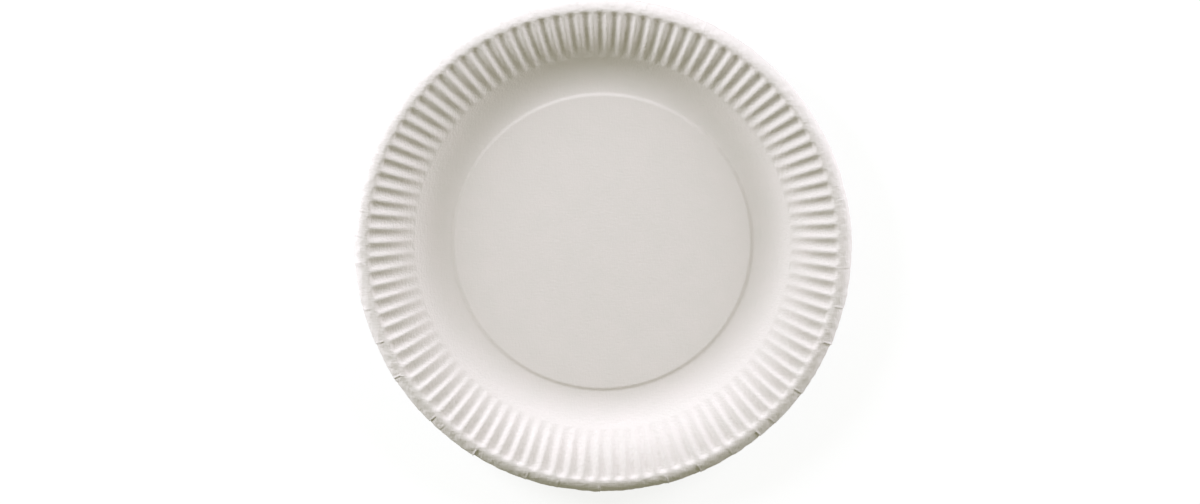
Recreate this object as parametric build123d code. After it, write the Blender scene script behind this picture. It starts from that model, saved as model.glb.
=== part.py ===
from build123d import *

import math
import os

# Paper plate: one disc of thin card, pressed in one go into a flat well, a sloping wall,
# a fluted flange and a lip that turns down. Millimetres, +Z up. The origin is the centre of
# the underside of the foot ring, which is what the plate stands on.

# Overall sizes
plate_diameter = 230.0
card_thickness = 0.4

# Lip: an arc over the crest that turns down to the cut edge, with a narrow flat on top
lip_bend = 5.2
lip_turn = 80.0
crest_turn = 8.0
lip_bands = 3

# Flange: straight above the wall, then easing off towards the lip. Slopes in degrees
flange_straight = 3.6
flange_sweep = 15.8
flange_slope_inner = 36.0
flange_slope_outer = 12.0
flange_bands = 2

# Wall: a concave sweep up from the foot ring, then straight up to a fine ledge, from which the
# flutes start
wall_sweep = 13.2
wall_straight = 3.2
wall_slope_foot = 2.0
wall_bands = 3
ledge_width = 0.1

# Foot ring, and the panel inside it that is raised by one step
foot_width = 1.2
step_width = 2.3
panel_rise = 0.6

# Flutes: ridges stay at the flange's own level, and the grooves between are pressed down
flute_count = 100
ridge_share = 0.30
flank_share = 0.22
groove_depth_inner = 0.80
groove_depth_outer = 1.25
groove_end_width = 1.8

# One flute's angles, from the middle of its groove
pitch = 360 / flute_count
ridge_mark = pitch * (1 - ridge_share) / 2
floor_mark = ridge_mark - pitch * flank_share


def sine(degrees):
    return math.sin(math.radians(degrees))


def cosine(degrees):
    return math.cos(math.radians(degrees))


def knot(radius, height):
    """A point of the section, which lies in the XZ plane."""
    return Vector(radius, 0, height)


def straight(start, width, slope):
    """The knot that is width further out than start, up a slope."""
    return start + knot(width, width * sine(slope) / cosine(slope))


def sweep(start, width, slope_in, slope_out, bands=1):
    """Knots along an arc that leaves start at one slope and is width further out at another."""
    bend = width / (sine(slope_out) - sine(slope_in))
    knots = []
    for band in range(1, bands + 1):
        slope = slope_in + (slope_out - slope_in) * band / bands
        knots.append(start + bend * knot(sine(slope) - sine(slope_in), cosine(slope_in) - cosine(slope)))
    return knots


def lip_radius(slope):
    """Radius at which the lip's arc has a slope, inside the crest where it is positive."""
    return plate_diameter / 2 - lip_bend * (sine(lip_turn) + sine(slope))


# Radii, worked inwards from the rim
flute_outer = lip_radius(crest_turn)
groove_outer = flute_outer - groove_end_width
flute_inner = groove_outer - flange_sweep - flange_straight
foot_outer = flute_inner - ledge_width - wall_straight - wall_sweep
foot_inner = foot_outer - foot_width

# Section of the upper face, from the middle out to the ledge
panel_edge = knot(foot_inner - step_width, card_thickness + panel_rise)
foot = [knot(foot_inner, card_thickness), knot(foot_outer, card_thickness)]
wall = sweep(foot[-1], wall_sweep, wall_slope_foot, flange_slope_inner, wall_bands)
wall.append(straight(wall[-1], wall_straight, flange_slope_inner))
dish = [knot(0, panel_edge.Z), panel_edge] + foot + wall

# Section of the flutes, from the ledge's outer edge to the crest, with a groove's depth at each
flute_start = knot(flute_inner, wall[-1].Z)
flange_bend = straight(flute_start, flange_straight, flange_slope_inner)
flange = sweep(flange_bend, flange_sweep, flange_slope_inner, flange_slope_outer, flange_bands)
lip_start = straight(flange[-1], lip_radius(flange_slope_outer) - groove_outer, flange_slope_outer)
crest = sweep(lip_start, flute_outer - lip_start.X, flange_slope_outer, crest_turn)[-1]
fluted = [flute_start, flange_bend] + flange + [crest]
growth = (groove_depth_outer - groove_depth_inner) / flange_sweep
depths = [groove_depth_inner + growth * (point.X - flange_bend.X) for point in fluted[1:-1]]
depths = [0.0] + depths + [0.0]

# Section of the lip, from the outer edge of the crest's flat down to the cut edge
crest_outer = knot(lip_radius(-crest_turn), crest.Z)
lip = sweep(crest_outer, plate_diameter / 2 - crest_outer.X, -crest_turn, -lip_turn, lip_bands)
lip = [crest_outer] + lip


def underside(knots):
    """The section one card thickness below, with mitred corners."""
    runs = [after - before for before, after in zip(knots, knots[1:])]
    slopes = [math.atan2(run.Z, run.X) for run in runs]
    lower = []
    for point, before, after in zip(knots, slopes[:1] + slopes, slopes + slopes[-1:]):
        reach = card_thickness / math.cos((after - before) / 2)
        tilt = (before + after) / 2
        lower.append(point + reach * knot(math.sin(tilt), -math.cos(tilt)))
    return lower


def spot(point, angle, drop=0.0):
    """A section knot turned to an angle about the plate's axis and lowered."""
    return (point - knot(0, drop)).rotate(Axis.Z, angle)


def turned(knots):
    """The faces that a run of section knots sweeps about the plate's axis."""
    return Shell.revolve(Wire(Polyline(knots).edges()), 360, Axis.Z).faces()


def flute_row(point, depth, lower):
    """Corners across one flute at one station: floor, flank, ridge and flank.

    The underside's flanks stand back by what keeps the card one thickness through them. Where
    the groove ends, its floor has come up and spread to the ridges, and the flanks are gone.
    """
    flank_width = point.X * math.radians(ridge_mark - floor_mark)
    flank_slope = math.atan2(depth, flank_width)
    back = math.degrees(card_thickness * math.tan(flank_slope / 2) / point.X) if lower else 0.0
    high = ridge_mark + back
    low = floor_mark + back if depth else high
    floor = [spot(point, -low, depth), spot(point, low, depth)]
    ridge = [spot(point, high), spot(point, pitch - high)]
    return floor + ridge + [spot(point, pitch - low, depth)]


def patch(near, far, flank):
    """The face between two corners of one row and the same two of the next."""
    corners = [near[0], near[1], far[1], far[0]]
    if near[0] == near[1]:
        corners = corners[1:]
    elif far[0] == far[1]:
        corners = corners[:3]
    elif flank:
        return Face.make_surface_from_curves(Edge.make_line(*near), Edge.make_line(*far))
    return Face(Wire.make_polygon(corners))


def flute(knots, lower):
    """The faces of one flute between the ledge and the crest, on one side of the card."""
    rows = [flute_row(point, depth, lower) for point, depth in zip(knots, depths)]
    faces = []
    for near, far in zip(rows, rows[1:]):
        for side in range(4):
            flank = side % 2 == 1
            faces.append(patch(near[side:side + 2], far[side:side + 2], flank))
    return faces


def ring(point):
    """The circle that a section knot sweeps."""
    return Wire([Edge.make_circle(point.X, Plane(origin=(0, 0, point.Z)))])


def notched(point):
    """The straight edges in which the ridges and grooves meet a flat ring, all the way round."""
    angles = [number * pitch + side for number in range(flute_count) for side in (-ridge_mark, ridge_mark)]
    return Wire.make_polygon([spot(point, angle) for angle in angles])


def skin(dish, fluted, lip, lower=False):
    """All faces of one side of the card."""
    one = flute(fluted, lower)
    faces = turned(dish) + turned(lip)
    faces.append(Face(notched(fluted[0]), [ring(dish[-1])]))
    faces.append(Face(ring(lip[0]), [notched(fluted[-1])]))
    for number in range(flute_count):
        faces += [face.rotate(Axis.Z, number * pitch) for face in one]
    return faces


below = underside(dish + fluted + lip)
lower = skin(below[:len(dish)], below[len(dish):-len(lip)], below[-len(lip):], lower=True)
cut_edge = turned([lip[-1], below[-1]])
plate = Solid(Shell(skin(dish, fluted, lip) + lower + cut_edge))

os.makedirs("parts", exist_ok=True)
export_step(plate, "parts/plate.step")
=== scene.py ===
import logging
import math
from dataclasses import dataclass
from enum import Enum

import bmesh
import bpy
from mathutils import Matrix, Vector, noise


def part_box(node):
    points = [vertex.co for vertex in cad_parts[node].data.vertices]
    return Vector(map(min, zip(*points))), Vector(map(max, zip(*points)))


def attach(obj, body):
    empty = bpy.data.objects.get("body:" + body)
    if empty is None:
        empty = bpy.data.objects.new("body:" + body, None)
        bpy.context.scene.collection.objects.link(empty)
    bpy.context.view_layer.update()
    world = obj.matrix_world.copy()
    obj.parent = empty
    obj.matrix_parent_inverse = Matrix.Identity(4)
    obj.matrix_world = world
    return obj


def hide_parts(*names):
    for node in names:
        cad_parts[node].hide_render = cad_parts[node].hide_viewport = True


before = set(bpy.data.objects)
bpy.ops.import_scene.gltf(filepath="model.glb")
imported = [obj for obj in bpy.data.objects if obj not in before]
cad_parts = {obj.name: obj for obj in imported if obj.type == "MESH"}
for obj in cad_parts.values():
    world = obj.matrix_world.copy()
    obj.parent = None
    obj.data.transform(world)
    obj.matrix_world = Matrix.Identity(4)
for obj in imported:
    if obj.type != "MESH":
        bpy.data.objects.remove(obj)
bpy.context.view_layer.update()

# Looks of a round paper plate: one disc of thin card with a raised panel, a ring step, a sloping
# wall, a fluted flange and a lip that turns down. Metres, +Z up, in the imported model's frame.

MM = 0.001
LOG = logging.getLogger("paper_plate")

# Points of the mesh that are closer than this are one point
MERGE_DISTANCE = 0.005 * MM

# A zone of the plate is spun as one sector, which is then repeated round the axis
SECTORS = 10

# The cut edge wavers along a row of the noise that the grooves don't use
WAVER_ROW = 5.0

# The grooves end this far inside the crest of the lip, and the creases rise to their full height
# over the other width, outside it
CREST_MARGIN = 0.15 * MM
CREASE_RISE = 1.6 * MM

Colour = tuple[float, float, float]


def ramp(value: float, start: float, end: float) -> float:
    """Return 0 before start, 1 past end and a smooth rise between them."""
    share = min(max((value - start) / (end - start), 0.0), 1.0)
    return share * share * (3 - 2 * share)


def mix(start: float, end: float, share: float) -> float:
    """Return the value that lies a share of the way from start to end."""
    return start + (end - start) * share


def sine(degrees: float) -> float:
    """Return the sine of an angle in degrees."""
    return math.sin(math.radians(degrees))


def cosine(degrees: float) -> float:
    """Return the cosine of an angle in degrees."""
    return math.cos(math.radians(degrees))


def polar(radius: float, angle: float, height: float) -> Vector:
    """Return the point at a radius, an angle in radians and a height."""
    return Vector((radius * math.cos(angle), radius * math.sin(angle), height))


@dataclass(frozen=True)
class Stretch:
    """A stretch of the section that turns evenly from one slope to another.

    Args:
        width: how far it reaches outwards, in metres.
        slope_in: slope where it starts, in degrees above level.
        slope_out: slope where it ends.
        bands: how many rings of faces it is cut into.
    """

    width: float
    slope_in: float
    slope_out: float
    bands: int = 1

    def knots(self, start: Vector) -> list[Vector]:
        """Work out the points along the stretch.

        Args:
            start: the section's point where the stretch begins, in the XZ plane.

        Returns:
            The end of each band, in order.
        """
        points = []
        for band in range(1, self.bands + 1):
            share = band / self.bands
            if self.slope_in == self.slope_out:
                across = self.width * share
                up = across * math.tan(math.radians(self.slope_in))
            else:
                bend = self.width / (sine(self.slope_out) - sine(self.slope_in))
                slope = mix(self.slope_in, self.slope_out, share)
                across = bend * (sine(slope) - sine(self.slope_in))
                up = bend * (cosine(self.slope_in) - cosine(slope))
            points.append(start + Vector((across, 0.0, up)))
        return points


@dataclass(frozen=True)
class Bands:
    """How many rings of faces each part of the section is cut into.

    Args:
        panel: rings of the flat panel.
        half_step: rings of each half of the ring step.
        wall: rings of the wall's concave part.
        groove_start: rings where the grooves start.
        flange: rings of the flange's sweep.
        groove_end: rings where the grooves end.
        lip: rings of the lip's arc.
    """

    panel: int = 6
    half_step: int = 4
    wall: int = 10
    groove_start: int = 3
    flange: int = 6
    groove_end: int = 4
    lip: int = 15


@dataclass(frozen=True)
class Section:
    """The section of the card's upper face, from the middle of the well to the cut edge.

    Args:
        rim_radius: half of the plate's diameter, in metres.
        bands: how finely its parts are cut into rings of faces.
        card: thickness of the card.
        panel_rise: how far the panel stands above the foot ring.
        step_width: width of the ring step between panel and foot ring.
        foot_width: width of the ring that the plate stands on.
        wall_sweep: width of the wall's concave part.
        wall_straight: width of the wall's straight part above it.
        foot_slope: slope of the wall at its foot, in degrees.
        ledge_width: width of the plain ring at the top of the wall.
        groove_start: width above the ledge that has fine rings, because the grooves start there.
        flange_straight: width of the flange's straight part.
        flange_sweep: width of the part that eases off towards the lip.
        steep_slope: slope of the wall's and the flange's straight parts.
        flange_slope: slope of the flange where it meets the lip.
        groove_end: width over which the grooves end, inside the crest.
        crest_slope: slope that counts as the crest of the lip.
        lip_bend: radius of the lip's arc.
        lip_turn: slope of the lip at the cut edge, in degrees below level.
    """

    rim_radius: float
    bands: Bands = Bands()
    card: float = 0.4 * MM
    panel_rise: float = 0.55 * MM
    step_width: float = 2.5 * MM
    foot_width: float = 0.95 * MM
    wall_sweep: float = 14.4 * MM
    wall_straight: float = 1.1 * MM
    foot_slope: float = 0.5
    ledge_width: float = 0.1 * MM
    groove_start: float = 0.9 * MM
    flange_straight: float = 4.5 * MM
    flange_sweep: float = 15.8 * MM
    steep_slope: float = 37.0
    flange_slope: float = 12.0
    groove_end: float = 1.8 * MM
    crest_slope: float = 8.0
    lip_bend: float = 5.2 * MM
    lip_turn: float = 80.0

    def lip_width(self, slope: float) -> float:
        """Return how far the lip's arc reaches outwards from where it has a slope, in degrees."""
        return self.lip_bend * (sine(self.lip_turn) + sine(slope))

    @property
    def crest_radius(self) -> float:
        """Radius of the highest line of the lip."""
        return self.rim_radius - self.lip_width(0.0)

    @property
    def lip_radius(self) -> float:
        """Radius at which the lip's arc starts."""
        return self.rim_radius - self.lip_width(self.flange_slope)

    @property
    def flange_end(self) -> float:
        """Radius at which the flange's sweep ends, a little inside the lip."""
        return self.rim_radius - self.lip_width(self.crest_slope) - self.groove_end

    @property
    def flange_start(self) -> float:
        """Radius at which the flutes start."""
        return self.flange_end - self.flange_sweep - self.flange_straight

    @property
    def foot_radius(self) -> float:
        """Radius of the foot ring's outer edge, where the wall starts."""
        return self.flange_start - self.ledge_width - self.wall_straight - self.wall_sweep

    @property
    def panel_radius(self) -> float:
        """Radius of the raised panel."""
        return self.foot_radius - self.foot_width - self.step_width

    def dish(self) -> list[Vector]:
        """Work out the section from the plate's axis to the top of the wall.

        Returns:
            The points, in order.
        """
        half_step = self.step_width / 2
        step_slope = 2 * math.degrees(math.atan(self.panel_rise / self.step_width))
        stretches = (
            Stretch(self.panel_radius, 0.0, 0.0, self.bands.panel),
            Stretch(half_step, 0.0, -step_slope, self.bands.half_step),
            Stretch(half_step, -step_slope, 0.0, self.bands.half_step),
            Stretch(self.foot_width, 0.0, 0.0),
            Stretch(self.wall_sweep, self.foot_slope, self.steep_slope, self.bands.wall),
            Stretch(self.wall_straight, self.steep_slope, self.steep_slope),
        )
        return self.follow(Vector((0.0, 0.0, self.card + self.panel_rise)), stretches)

    def rim(self, start: Vector) -> list[Vector]:
        """Work out the section from just outside the wall to the cut edge.

        Args:
            start: the top of the wall, which the first band is bridged from.

        Returns:
            The points, in order.
        """
        steep = self.steep_slope
        gentle = self.flange_slope
        ledge = Stretch(self.ledge_width, steep, steep).knots(start)[0]
        stretches = (
            Stretch(self.groove_start, steep, steep, self.bands.groove_start),
            Stretch(self.flange_straight - self.groove_start, steep, steep),
            Stretch(self.flange_sweep, steep, gentle, self.bands.flange),
            Stretch(self.lip_radius - self.flange_end, gentle, gentle, self.bands.groove_end),
            Stretch(self.lip_width(gentle), gentle, -self.lip_turn, self.bands.lip),
        )
        return self.follow(ledge, stretches)

    @staticmethod
    def follow(start: Vector, stretches: tuple[Stretch, ...]) -> list[Vector]:
        """Lay stretches one after another.

        Args:
            start: the section's point that the first one starts from.
            stretches: the stretches, from the inside out.

        Returns:
            The start and the points of the stretches, in order.
        """
        points = [start]
        for stretch in stretches:
            points += stretch.knots(points[-1])
        return points


@dataclass(frozen=True)
class Flutes:
    """The grooves that are pressed into the flange, with ridges left between them.

    Args:
        inner_radius: where the grooves start, in metres.
        outer_radius: where they end.
        count: grooves round the plate. The first lies on +X.
        marks: where the mesh has columns, in shares of a pitch from the middle of a groove.
        ridge_mark: where the flank meets the ridge, in shares of a pitch.
        roundness: how much wider the grooves' bottoms are than the ridges' tops, where 1 is even.
        full_depth: depth where a groove is deepest, near its outer end.
        growth: how quickly it gets deep from its inner end, where 1 is evenly.
        end_length: length over which a groove ends in plan, from its last full width.
        squareness: how square the ends are in plan, where 2 is round.
        unevenness: how far single grooves depart from the common depth, as a share.
        end_drift: how far the ends of single grooves depart from the common circle.
        drift_step: how much one groove's departures differ from the next one's.
    """

    inner_radius: float
    outer_radius: float
    count: int = 100
    marks: tuple[float, ...] = (0.0, 0.10, 0.19, 0.27, 0.35, 0.42, 0.5)
    ridge_mark: float = 0.49
    roundness: float = 1.2
    full_depth: float = 1.35 * MM
    growth: float = 3.6
    end_length: float = 3.0 * MM
    squareness: float = 2.1
    unevenness: float = 0.07
    end_drift: float = 0.15 * MM
    drift_step: float = 0.73

    @property
    def columns(self) -> int:
        """Columns of faces round one pitch."""
        return 2 * (len(self.marks) - 1)

    @property
    def steps(self) -> int:
        """Columns of faces round the whole plate."""
        return self.columns * self.count

    def share(self, column: int) -> float:
        """Work out where a column lies in its pitch.

        Args:
            column: number of the mesh column.

        Returns:
            How far it lies past the groove's middle, in shares of a pitch.
        """
        place = column % self.columns
        if place < len(self.marks):
            return self.marks[place]
        return 1 - self.marks[self.columns - place]

    def drift(self, column: int) -> float:
        """Return how far the groove nearest to a column departs from the rest, -0.5 to 0.5."""
        number = (column + self.columns // 2) // self.columns % self.count
        return noise.noise(Vector((number * self.drift_step, 0.0, 0.0)))

    def depth(self, radius: float, column: int) -> float:
        """Work out how deep the card is pressed at a point.

        Args:
            radius: distance from the plate's axis, in metres.
            column: number of the mesh column that the point lies in.

        Returns:
            The depth below the plain flange, in metres.
        """
        drift = self.drift(column)
        across = self.share(column)
        across = min(across, 1 - across) / self.ridge_mark
        end_start = self.outer_radius + drift * self.end_drift - self.end_length
        past_end = max(radius - end_start, 0.0) / self.end_length
        outline = (across ** self.squareness + past_end ** self.squareness) ** (1 / self.squareness)
        pressed = 1 - ramp(outline ** self.roundness, 0.0, 1.0)
        left = (self.outer_radius - radius) / (self.outer_radius - self.inner_radius)
        full = self.full_depth * (1 - max(left, 0.0) ** self.growth)
        return full * pressed * (1 + self.unevenness * drift)


class Side(Enum):
    """The side of a crease on which the lip stands proud, seen from above the plate."""

    CLOCKWISE = -1
    ANTICLOCKWISE = 1


@dataclass(frozen=True)
class Crease:
    """A fold that runs over the lip, close to the line of a groove.

    Args:
        place: where it starts, in grooves anticlockwise from +X.
        strength: how marked the fold is, where 1 is usual.
        side: the side on which the lip stands proud.
        lean: how far the cut end of the fold lies from its start, in grooves.
    """

    place: float
    strength: float
    side: Side = Side.CLOCKWISE
    lean: float = 0.0


@dataclass(frozen=True)
class Lip:
    """The creases of the lip and the slight steps that they leave in the cut edge.

    Args:
        start_radius: where the creases start, in metres.
        full_radius: where they are at full height.
        creases: the folds, in order round the plate.
        fold_height: how far a fold stands up.
        fold_reach: half the width of a fold.
        fold_dip: how far the card dips beside a fold, as a share of its height.
        edge_step: how far the cut edge steps at a fold.
        edge_waver: how far the cut edge wavers between the folds.
        lean_reach: how far from a leaning fold the lip is drawn along with it, in grooves.
        crumple: height of the lip's dents.
        dent_size: distance between them.
        grain_share: height of the finer grain between them, as a share of theirs.
        grain_size: distance between the marks of that grain.
        waver_rate: how quickly the cut edge wavers, in marks for each groove.
    """

    start_radius: float
    full_radius: float
    creases: tuple[Crease, ...]
    fold_height: float = 0.28 * MM
    fold_reach: float = 0.34 * MM
    fold_dip: float = 0.2
    edge_step: float = 0.30 * MM
    edge_waver: float = 0.16 * MM
    lean_reach: float = 2.0
    crumple: float = 0.26 * MM
    dent_size: float = 3.2 * MM
    grain_share: float = 0.4
    grain_size: float = 1.2 * MM
    waver_rate: float = 0.31

    def dent(self, place: Vector) -> float:
        """Return how far the lip is dented inwards at a point, in metres."""
        grain = self.grain_share * noise.noise(place / self.grain_size)
        return self.crumple * (noise.noise(place / self.dent_size) + grain)

    def weight(self, radius: float) -> float:
        """Return how much of the creases' height the lip has at a radius."""
        return ramp(radius, self.start_radius, self.full_radius)

    def step(self, turn: float, count: int) -> float:
        """Work out how far the cut edge stands proud.

        Args:
            turn: place round the plate, in grooves.
            count: grooves round the plate.

        Returns:
            The distance outwards, in metres.
        """
        waver = self.edge_waver * noise.noise(Vector((turn * self.waver_rate, WAVER_ROW, 0.0)))
        for before, after in zip(self.creases, self.creases[1:] + self.creases[:1]):
            gap = (after.place - before.place) % count
            past = (turn - before.place) % count
            if 0 < past < gap:
                share = past / gap
                left = before.side.value * before.strength * (1 - ramp(share, 0.0, 1.0))
                right = after.side.value * after.strength * ramp(share, 0.0, 1.0)
                return waver + self.edge_step * (left - right) / 2
        return waver

    def draw(self, turn: float, count: int) -> float:
        """Work out how far leaning folds draw the cut edge round the plate.

        Args:
            turn: place round the plate, in grooves.
            count: grooves round the plate.

        Returns:
            The distance anticlockwise, in grooves.
        """
        total = 0.0
        for crease in self.creases:
            apart = abs((turn - crease.place + count / 2) % count - count / 2)
            total += crease.lean * (1 - ramp(apart, 0.0, self.lean_reach))
        return total


@dataclass(frozen=True)
class Warp:
    """A slight bend out of round that the card has taken since it was pressed.

    Args:
        swells: how many times the rim swells on the way round.
        size: how far it swells, in metres.
        azimuth: where one swelling lies, in degrees from +X.
    """

    swells: int
    size: float
    azimuth: float

    def push(self, angle: float) -> float:
        """Return how far the rim is pushed outwards at an angle in radians."""
        return self.size * math.cos(self.swells * (angle - math.radians(self.azimuth)))


class NodeSheet:
    """A node tree with short ways to add and join nodes."""

    def __init__(self, tree: bpy.types.NodeTree) -> None:
        """Hold the tree that nodes are added to."""
        self.tree = tree

    def add(self, kind: str) -> bpy.types.Node:
        """Add a node of a kind and return it."""
        return self.tree.nodes.new(kind)

    def add_group(self, group: bpy.types.NodeTree) -> bpy.types.Node:
        """Add a node that stands for a node group.

        Args:
            group: the node group.

        Returns:
            The new node.
        """
        node = self.add("ShaderNodeGroup")
        node.node_tree = group
        return node

    def add_mix(self, first: Colour, second: Colour) -> bpy.types.Node:
        """Add a node that mixes two colours.

        Args:
            first: colour at a factor of 0, linear.
            second: colour at a factor of 1.

        Returns:
            The new node.
        """
        node = self.add("ShaderNodeMix")
        node.data_type = "RGBA"
        self.socket(node.inputs, "A").default_value = (*first, 1.0)
        self.socket(node.inputs, "B").default_value = (*second, 1.0)
        return node

    def add_noise(
        self, scale: float, detail: float, stretch: tuple[float, float, float] = (1.0, 1.0, 1.0)
    ) -> tuple[bpy.types.Node, bpy.types.Node]:
        """Add a noise texture behind a mapping.

        Args:
            scale: marks for each metre.
            detail: octaves of finer noise.
            stretch: scale of the mapping along each axis.

        Returns:
            The mapping and the noise.
        """
        mapping = self.add("ShaderNodeMapping")
        mapping.inputs["Scale"].default_value = stretch
        texture = self.add("ShaderNodeTexNoise")
        texture.inputs["Scale"].default_value = scale
        texture.inputs["Detail"].default_value = detail
        self.join(mapping, "Vector", texture, "Vector")
        return mapping, texture

    def socket(self, sockets: bpy.types.bpy_prop_collection, name: str) -> bpy.types.NodeSocket:
        """Return the socket of a name that is in use, which matters on nodes with several kinds."""
        return next(socket for socket in sockets if socket.name == name and socket.enabled)

    def join(self, source: bpy.types.Node, out: str, target: bpy.types.Node, into: str) -> None:
        """Link one node's output to another's input, both by name."""
        self.tree.links.new(self.socket(source.outputs, out), self.socket(target.inputs, into))


@dataclass(frozen=True)
class PressedPaper:
    """The marks that card keeps from the paper machine and from the press.

    Args:
        name: the node group's name.
        felt_stretch: width of a felt mark, as a share of its length.
        felt_detail: octaves of finer marks.
        well_felt: how much of the felt mark the press leaves in the well, as a share.
        well_radius: radius up to which it is pressed flat, in metres.
        full_radius: radius from which it is whole.
        clouds: clouds of tone for each metre.
        cloud_detail: octaves of finer clouds.
        fibres: fibres for each metre, across them.
        fibre_stretch: width of a fibre, as a share of its length.
        fibre_limits: noise at which a fibre starts to show and is full.
    """

    name: str = "pressed_paper"
    felt_stretch: float = 0.3
    felt_detail: float = 2.0
    well_felt: float = 0.3
    well_radius: float = 80.0 * MM
    full_radius: float = 92.0 * MM
    clouds: float = 90.0
    cloud_detail: float = 4.0
    fibres: float = 900.0
    fibre_stretch: float = 0.25
    fibre_limits: tuple[float, float] = (0.70, 0.80)

    def group(self) -> bpy.types.NodeTree:
        """Build the node group on its first use.

        Returns:
            A group with the outputs Felt, a woven height, Felt strength, how much of it is left,
            Cloud, a soft tone, and Fibre, a thin mask.
        """
        if self.name in bpy.data.node_groups:
            return bpy.data.node_groups[self.name]
        tree = bpy.data.node_groups.new(self.name, "ShaderNodeTree")
        tree.interface.new_socket("Vector", in_out="INPUT", socket_type="NodeSocketVector")
        tree.interface.new_socket("Felt scale", in_out="INPUT", socket_type="NodeSocketFloat")
        for output in ("Felt", "Felt strength", "Cloud", "Fibre"):
            tree.interface.new_socket(output, in_out="OUTPUT", socket_type="NodeSocketFloat")
        sheet = NodeSheet(tree)
        entry = sheet.add("NodeGroupInput")
        result = sheet.add("NodeGroupOutput")
        self.add_felt(sheet, entry, result)
        self.add_felt_strength(sheet, entry, result)
        mapping, cloud = sheet.add_noise(self.clouds, self.cloud_detail)
        sheet.join(entry, "Vector", mapping, "Vector")
        tree.links.new(cloud.outputs[0], result.inputs["Cloud"])
        fibre_stretch = (self.fibre_stretch, 1.0, 1.0)
        mapping, fibre = sheet.add_noise(self.fibres, detail=1.0, stretch=fibre_stretch)
        sheet.join(entry, "Vector", mapping, "Vector")
        thin = sheet.add("ShaderNodeMapRange")
        thin.inputs["From Min"].default_value = self.fibre_limits[0]
        thin.inputs["From Max"].default_value = self.fibre_limits[1]
        tree.links.new(fibre.outputs[0], thin.inputs["Value"])
        sheet.join(thin, "Result", result, "Fibre")
        return tree

    def add_felt(self, sheet: NodeSheet, entry: bpy.types.Node, result: bpy.types.Node) -> None:
        """Add the felt's height, which is marks along X and marks along Y on top of each other.

        Args:
            sheet: the group's nodes.
            entry: the node that holds the group's inputs.
            result: the node that holds its outputs.
        """
        felt = sheet.add("ShaderNodeMath")
        felt.operation = "ADD"
        stretches = ((self.felt_stretch, 1.0, 1.0), (1.0, self.felt_stretch, 1.0))
        for number, stretch in enumerate(stretches):
            mapping, texture = sheet.add_noise(scale=1.0, detail=self.felt_detail, stretch=stretch)
            sheet.join(entry, "Vector", mapping, "Vector")
            sheet.join(entry, "Felt scale", texture, "Scale")
            sheet.tree.links.new(texture.outputs[0], felt.inputs[number])
        sheet.join(felt, "Value", result, "Felt")

    def add_felt_strength(
        self, sheet: NodeSheet, entry: bpy.types.Node, result: bpy.types.Node
    ) -> None:
        """Add how much of the felt mark is left, by the distance from the plate's axis.

        Args:
            sheet: the group's nodes.
            entry: the node that holds the group's inputs.
            result: the node that holds its outputs.
        """
        level = sheet.add("ShaderNodeMapping")
        level.inputs["Scale"].default_value = (1.0, 1.0, 0.0)
        sheet.join(entry, "Vector", level, "Vector")
        radius = sheet.add("ShaderNodeVectorMath")
        radius.operation = "LENGTH"
        sheet.tree.links.new(level.outputs[0], radius.inputs[0])
        strength = sheet.add("ShaderNodeMapRange")
        strength.inputs["From Min"].default_value = self.well_radius
        strength.inputs["From Max"].default_value = self.full_radius
        strength.inputs["To Min"].default_value = self.well_felt
        sheet.join(radius, "Value", strength, "Value")
        sheet.join(strength, "Result", result, "Felt strength")


@dataclass(frozen=True)
class CardFinish:
    """Uncoated white card with a felt mark, faint clouds and a few short fibres.

    Args:
        name: the material's name.
        pale: colour of the lighter clouds, linear.
        deep: colour of the darker clouds.
        fibre: colour of the single fibres that show.
        roughness: lowest and highest roughness.
        felt_height: height of the felt mark, in metres.
        felt_size: distance between the felt's marks.
        shine: strength of the card's weak gloss.
        paper: the marks that the card keeps from its making.
    """

    name: str
    pale: Colour
    deep: Colour
    fibre: Colour
    roughness: tuple[float, float] = (0.62, 0.80)
    felt_height: float = 0.20 * MM
    felt_size: float = 0.85 * MM
    shine: float = 0.35
    paper: PressedPaper = PressedPaper()

    def material(self) -> bpy.types.Material:
        """Build the material.

        Returns:
            A material whose patterns follow the plate's own coordinates.
        """
        material = bpy.data.materials.new(self.name)
        material.use_nodes = True
        sheet = NodeSheet(material.node_tree)
        shader = material.node_tree.nodes["Principled BSDF"]
        shader.inputs["Specular IOR Level"].default_value = self.shine
        place = sheet.add("ShaderNodeTexCoord")
        mapping = sheet.add("ShaderNodeMapping")
        sheet.join(place, "Object", mapping, "Vector")
        paper = sheet.add_group(self.paper.group())
        paper.inputs["Felt scale"].default_value = 1 / self.felt_size
        sheet.join(mapping, "Vector", paper, "Vector")
        clouds = sheet.add_mix(self.deep, self.pale)
        sheet.join(paper, "Cloud", clouds, "Factor")
        fibres = sheet.add_mix(self.pale, self.fibre)
        sheet.join(paper, "Fibre", fibres, "Factor")
        sheet.join(clouds, "Result", fibres, "A")
        sheet.join(fibres, "Result", shader, "Base Color")
        rough = sheet.add("ShaderNodeMapRange")
        rough.inputs["To Min"].default_value = self.roughness[0]
        rough.inputs["To Max"].default_value = self.roughness[1]
        sheet.join(paper, "Cloud", rough, "Value")
        sheet.join(rough, "Result", shader, "Roughness")
        bump = sheet.add("ShaderNodeBump")
        bump.inputs["Distance"].default_value = self.felt_height
        sheet.join(paper, "Felt", bump, "Height")
        sheet.join(paper, "Felt strength", bump, "Strength")
        sheet.join(bump, "Normal", shader, "Normal")
        return material


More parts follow.
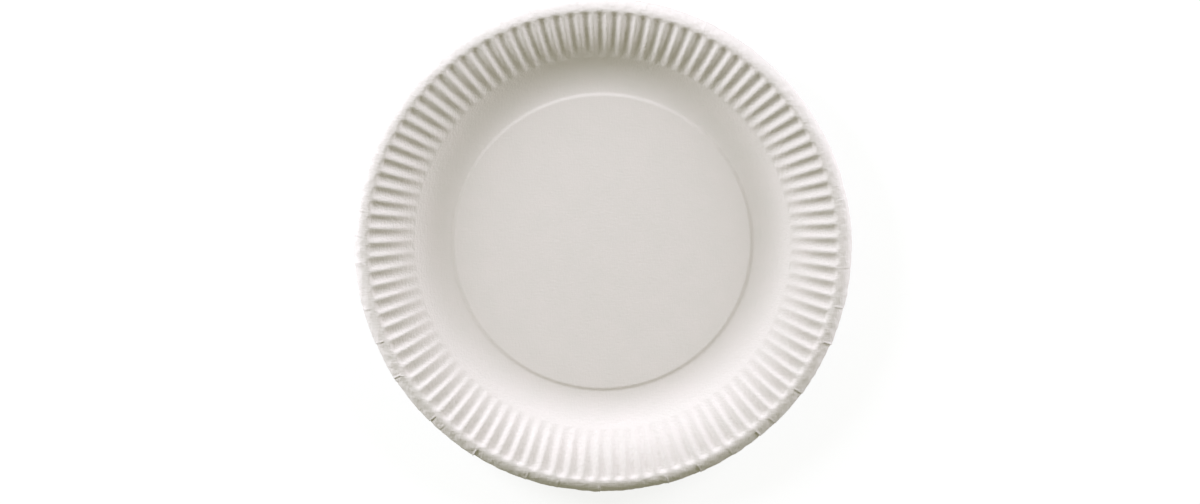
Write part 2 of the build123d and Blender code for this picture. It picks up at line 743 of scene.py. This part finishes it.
@dataclass(frozen=True)
class FloorFinish:
    """A pale floor that the camera sees as white, with the object's shadow kept.

    Args:
        colour: colour that the floor has for the light that it sends back.
        glow: share of white that the camera sees wherever the light falls.
        answer: how strongly the camera sees light and shadow on it.
    """

    colour: Colour = (0.78, 0.78, 0.77)
    glow: float = 0.84
    answer: float = 0.26

    def material(self) -> bpy.types.Material:
        """Build the material.

        Returns:
            A material that the camera sees as near white, with the plate's shadow on it.
        """
        material = bpy.data.materials.new("pale_floor")
        material.use_nodes = True
        sheet = NodeSheet(material.node_tree)
        material.node_tree.nodes.remove(material.node_tree.nodes["Principled BSDF"])
        output = material.node_tree.nodes["Material Output"]
        plain = sheet.add("ShaderNodeBsdfDiffuse")
        plain.inputs["Color"].default_value = (*self.colour, 1.0)
        seen = sheet.add("ShaderNodeBsdfDiffuse")
        seen.inputs["Color"].default_value = (self.answer, self.answer, self.answer, 1.0)
        white = sheet.add("ShaderNodeEmission")
        white.inputs["Strength"].default_value = self.glow
        both = sheet.add("ShaderNodeAddShader")
        path = sheet.add("ShaderNodeLightPath")
        choice = sheet.add("ShaderNodeMixShader")
        links = material.node_tree.links
        links.new(seen.outputs[0], both.inputs[0])
        links.new(white.outputs[0], both.inputs[1])
        links.new(path.outputs["Is Camera Ray"], choice.inputs[0])
        links.new(plain.outputs[0], choice.inputs[1])
        links.new(both.outputs[0], choice.inputs[2])
        links.new(choice.outputs[0], output.inputs["Surface"])
        return material


@dataclass
class PaperPlate:
    """The plate: one disc of card, pressed in one go.

    Args:
        section: its section.
        flutes: the grooves of its flange.
        lip: the creases of its lip.
        warps: how its rim has warped.
        face: finish of the card's faces.
        cut: finish of its cut edge.
        dish_steps: columns of faces round the well and wall.
    """

    section: Section
    flutes: Flutes
    lip: Lip
    warps: tuple[Warp, ...]
    face: CardFinish
    cut: CardFinish
    dish_steps: int = 300

    def build(self) -> bpy.types.Object:
        """Make the plate's mesh, dress it and tie it to the frame.

        Returns:
            The finished piece.
        """
        shape = bmesh.new()
        dish = self.section.dish()
        rim = self.section.rim(dish[-1])
        self.spin_zone(shape, dish, self.dish_steps)
        self.spin_zone(shape, rim, self.flutes.steps)
        seam = self.open_edges(shape, dish[-1].x) + self.open_edges(shape, rim[0].x)
        bmesh.ops.bridge_loops(shape, edges=seam)
        bmesh.ops.recalc_face_normals(shape, faces=shape.faces)
        if sum(face.normal.z for face in shape.faces) < 0:
            bmesh.ops.reverse_faces(shape, faces=shape.faces)
        self.press_flutes(shape)
        self.crease_lip(shape)
        self.bend_oval(shape)
        self.give_thickness(shape)
        for face in shape.faces:
            face.smooth = True
        mesh = bpy.data.meshes.new("pressed_card")
        shape.to_mesh(mesh)
        shape.free()
        mesh.materials.append(self.face.material())
        mesh.materials.append(self.cut.material())
        piece = bpy.data.objects.new("pressed_plate", mesh)
        bpy.context.scene.collection.objects.link(piece)
        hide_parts("plate")
        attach(piece, "root")
        return piece

    def spin_zone(self, shape: bmesh.types.BMesh, points: list[Vector], steps: int) -> None:
        """Spin a run of the section round the plate's axis, and add it to the plate.

        Args:
            shape: the mesh that the zone is added to.
            points: the section's points, from the inside out.
            steps: columns of faces round the plate.
        """
        zone = bmesh.new()
        tip = bmesh.ops.create_vert(zone, co=points[0])["vert"][0]
        for point in points[1:]:
            tip = bmesh.ops.extrude_vert_indiv(zone, verts=[tip])["verts"][0]
            tip.co = point
        bmesh.ops.spin(
            zone,
            geom=zone.verts[:] + zone.edges[:],
            cent=(0, 0, 0),
            axis=(0, 0, 1),
            angle=math.tau / SECTORS,
            steps=steps // SECTORS,
        )
        sector = zone.verts[:] + zone.edges[:] + zone.faces[:]
        for number in range(1, SECTORS):
            copy = bmesh.ops.duplicate(zone, geom=sector)["geom"]
            verts = [item for item in copy if isinstance(item, bmesh.types.BMVert)]
            turn = Matrix.Rotation(math.tau * number / SECTORS, 3, "Z")
            bmesh.ops.rotate(zone, verts=verts, cent=(0, 0, 0), matrix=turn)
        bmesh.ops.remove_doubles(zone, verts=zone.verts, dist=MERGE_DISTANCE)
        mesh = bpy.data.meshes.new("zone")
        zone.to_mesh(mesh)
        zone.free()
        shape.from_mesh(mesh)
        bpy.data.meshes.remove(mesh)

    def open_edges(self, shape: bmesh.types.BMesh, radius: float) -> list[bmesh.types.BMEdge]:
        """Find the open edges that lie on a circle round the plate's axis.

        Args:
            shape: the mesh that is searched.
            radius: radius of the circle.

        Returns:
            The edges.
        """

        def on_circle(edge: bmesh.types.BMEdge) -> bool:
            """Return whether both ends of an edge lie on the circle."""
            return all(abs(vert.co.xy.length - radius) < MERGE_DISTANCE for vert in edge.verts)

        return [edge for edge in shape.edges if edge.is_boundary and on_circle(edge)]

    def column(self, vert: bmesh.types.BMVert) -> int:
        """Return the number of the rim column that a point of the rim lies in."""
        turn = math.atan2(vert.co.y, vert.co.x) / math.tau
        return round(turn * self.flutes.steps) % self.flutes.steps

    def press_flutes(self, shape: bmesh.types.BMesh) -> None:
        """Gather the rim's columns at the flanks, and press the grooves down.

        Args:
            shape: the plate's upper face.
        """
        pitch = math.tau / self.flutes.count
        columns = self.flutes.columns
        for vert in shape.verts:
            radius = vert.co.xy.length
            if radius < self.flutes.inner_radius:
                continue
            column = self.column(vert)
            gather = 1 - self.lip.weight(radius)
            share = mix(column % columns / columns, self.flutes.share(column), gather)
            angle = (column // columns + share) * pitch
            depth = self.flutes.depth(radius, column)
            vert.co = polar(radius, angle, vert.co.z - depth)

    def crease_lip(self, shape: bmesh.types.BMesh) -> None:
        """Fold the creases into the lip and step the cut edge at each.

        Args:
            shape: the plate's upper face.
        """
        shape.normal_update()
        lip = self.lip
        count = self.flutes.count
        columns = self.flutes.columns
        steps = self.flutes.steps
        folds = {round(crease.place * columns) % steps: crease for crease in lip.creases}
        places = {}
        for vert in shape.verts:
            radius = vert.co.xy.length
            weight = lip.weight(radius)
            if weight == 0.0:
                continue
            column = self.column(vert)
            turn = column / columns
            inwards = lip.dent(vert.co) * weight
            reach = lip.fold_reach / radius * count / math.tau
            for offset in (-1, 0, 1):
                crease = folds.get((column - offset) % steps)
                if crease is not None:
                    fold = round(crease.place * columns) / columns
                    turn = mix(turn, fold + offset * reach, weight)
                    share = lip.fold_dip if offset else -1
                    inwards += share * lip.fold_height * crease.strength * weight
            turn += lip.draw(turn, count) * weight
            proud = lip.step(turn, count) * weight
            spot = polar(radius + proud, turn / count * math.tau, vert.co.z)
            places[vert] = spot - vert.normal * inwards
        for vert, place in places.items():
            vert.co = place

    def bend_oval(self, shape: bmesh.types.BMesh) -> None:
        """Warp the wall and the rim, more the further out they lie.

        Args:
            shape: the plate's upper face.
        """
        start = self.section.foot_radius
        width = self.section.rim_radius - start
        for vert in shape.verts:
            radius = vert.co.xy.length
            if radius > start:
                angle = math.atan2(vert.co.y, vert.co.x)
                out = sum(warp.push(angle) for warp in self.warps)
                vert.co = polar(radius + out * (radius - start) / width, angle, vert.co.z)

    def give_thickness(self, shape: bmesh.types.BMesh) -> None:
        """Turn the upper face into a closed sheet and mark its cut edge.

        Args:
            shape: the plate's upper face, which becomes the whole plate.
        """
        cut = shape.verts.layers.float.new("cut_edge")
        for vert in shape.verts:
            vert[cut] = float(vert.is_boundary)
        bmesh.ops.solidify(shape, geom=shape.faces, thickness=self.section.card)
        cut_faces = {face for face in shape.faces if all(vert[cut] > 0.5 for vert in face.verts)}
        for face in cut_faces:
            face.material_index = 1
            for edge in face.edges:
                edge.smooth = all(other in cut_faces for other in edge.link_faces)
        shape.verts.layers.float.remove(cut)


@dataclass(frozen=True)
class SoftLamp:
    """A round soft box that looks at the plate.

    Args:
        name: the lamp's name.
        azimuth: where it stands round the plate, in degrees from +X.
        elevation: how high it stands, in degrees.
        watts: power of the lamp.
        colour: colour of its light, linear.
        distance: how far it is from the plate, in metres.
        size: width of the soft box.
    """

    name: str
    azimuth: float
    elevation: float
    watts: float
    colour: Colour
    distance: float = 1.3
    size: float = 0.6

    def build(self) -> bpy.types.Object:
        """Place the lamp and turn it to the plate.

        Returns:
            The object that holds the lamp.
        """
        lamp = bpy.data.lights.new(self.name, "AREA")
        lamp.shape = "DISK"
        lamp.size = self.size
        lamp.energy = self.watts
        lamp.color = self.colour
        holder = bpy.data.objects.new(self.name, lamp)
        level = cosine(self.elevation)
        direction = polar(level, math.radians(self.azimuth), sine(self.elevation))
        holder.location = direction * self.distance
        holder.rotation_euler = direction.to_track_quat("Z", "Y").to_euler()
        bpy.context.scene.collection.objects.link(holder)
        return holder


@dataclass(frozen=True)
class Studio:
    """A pale floor, soft boxes and even light from all round.

    Args:
        lamps: the lamps.
        floor: finish of the floor.
        around: colour of the light from all round, linear.
        level: strength of that light.
        floor_size: width of the floor, in metres.
    """

    lamps: tuple[SoftLamp, ...]
    floor: FloorFinish
    around: Colour = (0.98, 1.0, 0.60)
    level: float = 0.23
    floor_size: float = 6.0

    def build(self) -> None:
        """Lay the floor, hang the lamps and set the light from all round."""
        shape = bmesh.new()
        bmesh.ops.create_grid(shape, x_segments=1, y_segments=1, size=self.floor_size / 2)
        mesh = bpy.data.meshes.new("studio_floor")
        shape.to_mesh(mesh)
        shape.free()
        mesh.materials.append(self.floor.material())
        floor = bpy.data.objects.new("studio_floor", mesh)
        bpy.context.scene.collection.objects.link(floor)
        for lamp in self.lamps:
            lamp.build()
        self.light_around()

    def light_around(self) -> None:
        """Light the plate from all round, and show the camera plain white there."""
        world = bpy.data.worlds.new("studio")
        bpy.context.scene.world = world
        world.use_nodes = True
        tree = world.node_tree
        sheet = NodeSheet(tree)
        soft = tree.nodes["Background"]
        soft.inputs["Color"].default_value = (*self.around, 1.0)
        soft.inputs["Strength"].default_value = self.level
        white = sheet.add("ShaderNodeBackground")
        white.inputs["Color"].default_value = (1.0, 1.0, 1.0, 1.0)
        white.inputs["Strength"].default_value = 1.0
        path = sheet.add("ShaderNodeLightPath")
        choice = sheet.add("ShaderNodeMixShader")
        tree.links.new(path.outputs["Is Camera Ray"], choice.inputs[0])
        tree.links.new(soft.outputs[0], choice.inputs[1])
        tree.links.new(white.outputs[0], choice.inputs[2])
        tree.links.new(choice.outputs[0], tree.nodes["World Output"].inputs["Surface"])


@dataclass(frozen=True)
class PlateCamera:
    """A long lens that looks almost straight down on the plate.

    Args:
        distance: from the lens to the level of the rim, in metres.
        tilt: how far the view leans from straight down, in degrees, with the camera towards +Y.
        turn: how far the picture's right lies from +X, in degrees anticlockwise.
        picture: the picture's width and height, in pixels.
        pixel: size of a pixel at the plate, in metres.
        centre: where the rim's centre lies in the picture, in pixels from its top left corner.
        sensor: width of the sensor, in millimetres.
    """

    distance: float = 2.3
    tilt: float = 8.65
    turn: float = -0.58
    picture: tuple[int, int] = (1200, 504)
    pixel: float = 0.4606 * MM
    centre: tuple[float, float] = (602.4, 247.7)
    sensor: float = 36.0

    def build(self, rim_height: float) -> bpy.types.Object:
        """Place the camera.

        Args:
            rim_height: height of the rim, in metres.

        Returns:
            The camera, which the scene then uses.
        """
        camera = bpy.data.cameras.new("plate_camera")
        camera.sensor_fit = "HORIZONTAL"
        camera.sensor_width = self.sensor
        camera.lens = self.sensor / self.picture[0] * self.distance / self.pixel
        holder = bpy.data.objects.new("plate_camera", camera)
        lean = Matrix.Rotation(math.radians(-self.tilt), 3, "X")
        view = Matrix.Rotation(math.radians(self.turn), 3, "Z") @ lean
        right = (self.centre[0] - self.picture[0] / 2) * self.pixel
        up = (self.picture[1] / 2 - self.centre[1]) * self.pixel
        middle = Vector((0.0, 0.0, rim_height)) - view @ Vector((right, up, 0.0))
        holder.location = middle + view @ Vector((0.0, 0.0, self.distance))
        holder.rotation_euler = view.to_euler()
        bpy.context.scene.collection.objects.link(holder)
        bpy.context.scene.camera = holder
        return holder


def creases() -> tuple[Crease, ...]:
    """Set out the folds of the lip.

    Returns:
        The folds, in order round the plate.
    """
    faint_places = (3.0, 7.5, 13.0, 18.0, 22.0, 26.5, 29.5, 34.0, 39.0, 43.5)
    faint = [Crease(place, strength=0.3) for place in faint_places]
    clockwise = Side.CLOCKWISE
    anticlockwise = Side.ANTICLOCKWISE
    marked = [
        Crease(47.4, 0.5, clockwise),
        Crease(49.1, 0.5, clockwise),
        Crease(51.1, 0.6, clockwise, -0.2),
        Crease(54.0, 0.5, clockwise),
        Crease(56.3, 0.9, clockwise),
        Crease(59.2, 1.3, clockwise, -0.3),
        Crease(62.5, 0.9, clockwise),
        Crease(63.3, 0.7, clockwise),
        Crease(66.1, 1.2, clockwise),
        Crease(69.8, 0.8, clockwise),
        Crease(71.9, 0.8, clockwise),
        Crease(74.7, 0.6, clockwise),
        Crease(78.9, 1.2, anticlockwise, 0.2),
        Crease(81.3, 1.0, anticlockwise),
        Crease(83.7, 0.6, anticlockwise),
        Crease(85.8, 0.9, anticlockwise),
        Crease(87.1, 0.8, anticlockwise),
        Crease(89.7, 1.1, anticlockwise),
        Crease(93.2, 1.3, anticlockwise, 0.2),
        Crease(95.8, 0.7, anticlockwise),
        Crease(98.5, 0.4, anticlockwise),
    ]
    return tuple(faint + marked)


def card_face() -> CardFinish:
    """Return the finish of the card's two faces."""
    return CardFinish(
        name="card_face",
        pale=(0.874, 0.795, 0.768),
        deep=(0.818, 0.767, 0.728),
        fibre=(0.82, 0.77, 0.72),
    )


def card_cut_edge() -> CardFinish:
    """Return the finish of the card's cut edge, which is rougher and a little darker."""
    return CardFinish(
        name="card_cut_edge",
        pale=(0.74, 0.72, 0.67),
        deep=(0.60, 0.58, 0.53),
        fibre=(0.5, 0.48, 0.42),
        roughness=(0.8, 0.95),
        felt_height=0.08 * MM,
    )


def main() -> None:
    """Build the plate, the studio and the camera."""
    logging.basicConfig(level=logging.INFO, format="%(name)s: %(message)s")
    bpy.context.scene.view_settings.view_transform = "Standard"
    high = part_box("plate")[1]
    section = Section(rim_radius=high.x)
    crest = section.crest_radius
    plate = PaperPlate(
        section=section,
        flutes=Flutes(section.flange_start, crest - CREST_MARGIN),
        lip=Lip(crest, crest + CREASE_RISE, creases()),
        warps=(
            Warp(swells=2, size=0.54 * MM, azimuth=124.0),
            Warp(swells=3, size=0.26 * MM, azimuth=2.0),
        ),
        face=card_face(),
        cut=card_cut_edge(),
    ).build()
    LOG.info("%s: %d faces", plate.name, len(plate.data.polygons))
    lamps = (
        SoftLamp("back_right", azimuth=30.0, elevation=20.5, watts=14.9, colour=(0.842, 0.866, 1.0)),
        SoftLamp("back_left", azimuth=150.0, elevation=21.5, watts=19.4, colour=(0.842, 0.876, 1.0)),
    )
    Studio(lamps, FloorFinish()).build()
    PlateCamera().build(high.z)
    LOG.info("the studio and the camera are in place")


if __name__ == "__main__":
    main()
